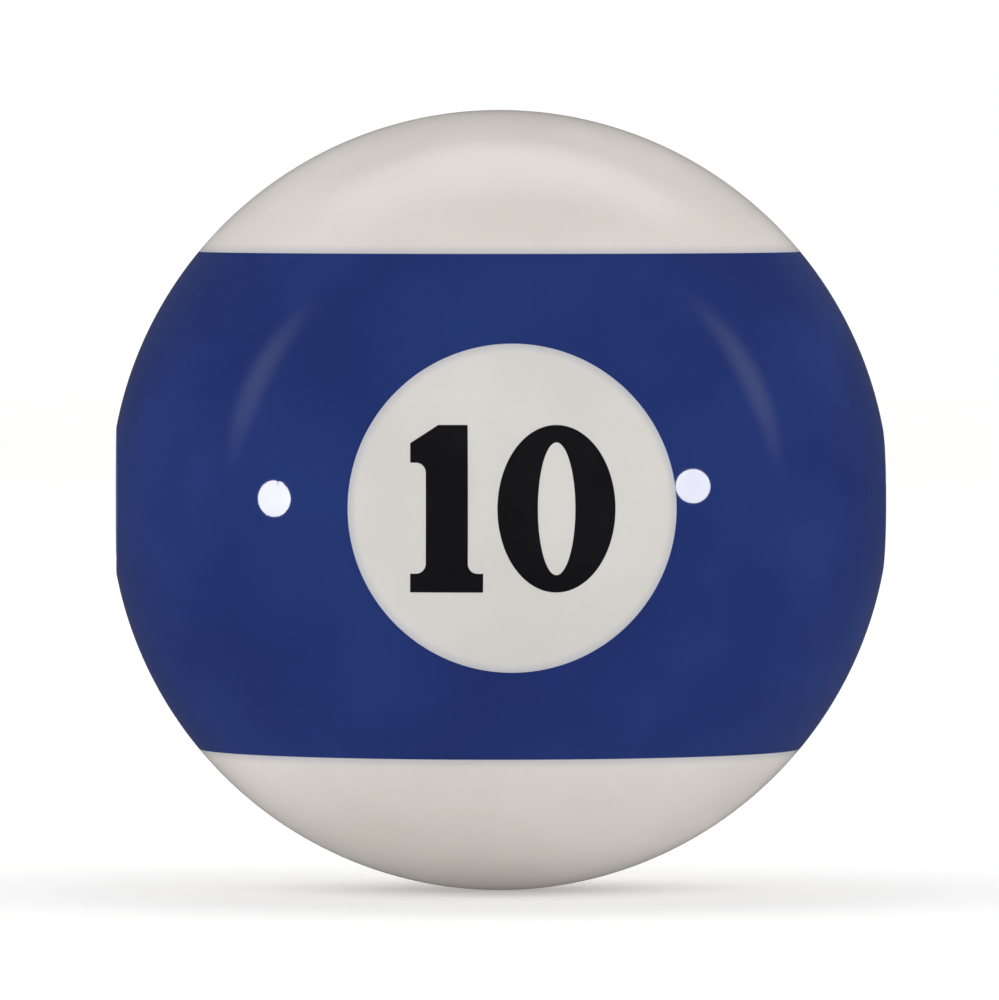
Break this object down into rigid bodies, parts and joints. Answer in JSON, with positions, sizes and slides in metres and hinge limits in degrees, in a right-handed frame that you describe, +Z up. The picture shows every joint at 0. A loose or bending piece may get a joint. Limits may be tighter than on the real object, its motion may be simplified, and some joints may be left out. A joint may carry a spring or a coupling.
{
  "type": "numbered pool ball",
  "caption": "Striped pool ball of cast resin with inlaid number discs, drilled through for threading on a lamp or display rod.",
  "frame": {"origin": "centre of the ball", "axes": "+X along the rod bore, -Y out through the front number, +Z up as the numbers read, square to the stripe's two edges"},
  "size_m": [0.0562, 0.0572, 0.0572],
  "materials": {
    "blue_resin": "cast phenolic resin, ground and polished to a high gloss",
    "ivory_resin": "cast phenolic resin, ground and polished to a high gloss",
    "number_disc_resin": "cast resin plug, polished flush with the ball",
    "black_resin": "cast resin inlay, polished flush with the ball"
  },
  "bodies": {
    "root": {"stripe_centre": "blue_resin", "upper_cap": "ivory_resin", "lower_cap": "ivory_resin", "front_number_disc": "number_disc_resin", "rear_number_disc": "number_disc_resin", "front_digit_one": "black_resin", "front_digit_zero": "black_resin", "rear_digit_one": "black_resin", "rear_digit_zero": "black_resin"}
  },
  "joints": []
}
